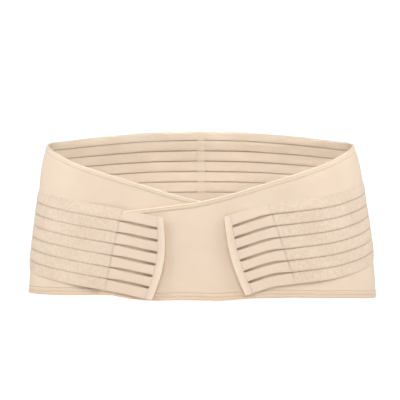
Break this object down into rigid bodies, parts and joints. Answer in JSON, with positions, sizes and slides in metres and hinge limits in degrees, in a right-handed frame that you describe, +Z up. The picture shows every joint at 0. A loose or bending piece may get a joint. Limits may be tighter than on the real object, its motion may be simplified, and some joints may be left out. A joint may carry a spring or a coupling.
{
  "type": "abdominal binder",
  "caption": "Cross-front abdominal binder of smooth cloth with a slotted elastic back and slotted side straps that fasten at the front, closed and standing on its lower edge.",
  "frame": {"origin": "middle of the binder's box, on the surface that its lower edge stands on", "axes": "+Z up, -Y out of the front where the panels cross, +X to the right as seen from the front"},
  "size_m": [0.3478, 0.1994, 0.1658],
  "materials": {
    "panel_cloth": "smooth laminated knit, matt, nude",
    "slotted_elastic": "fine ribbed elastic knit, matt, nude",
    "hem_binding": "folded and topstitched knit, matt, nude",
    "tab_cloth": "smooth laminated knit, matt, nude",
    "hook_tape": "woven hook fastener tape, matt, nude"
  },
  "bodies": {
    "root": {"back_panel": "slotted_elastic", "back_bottom_hem": "hem_binding", "left_front_panel": "panel_cloth", "left_neck_hem": "hem_binding", "left_bottom_hem": "hem_binding", "right_front_panel": "panel_cloth", "right_neck_hem": "hem_binding", "right_bottom_hem": "hem_binding", "left_strap": "slotted_elastic", "left_tab": "tab_cloth", "left_hook_pad": "hook_tape", "right_strap": "slotted_elastic", "right_tab": "tab_cloth", "right_hook_pad": "hook_tape", "back_tape": "hem_binding"}
  },
  "joints": []
}
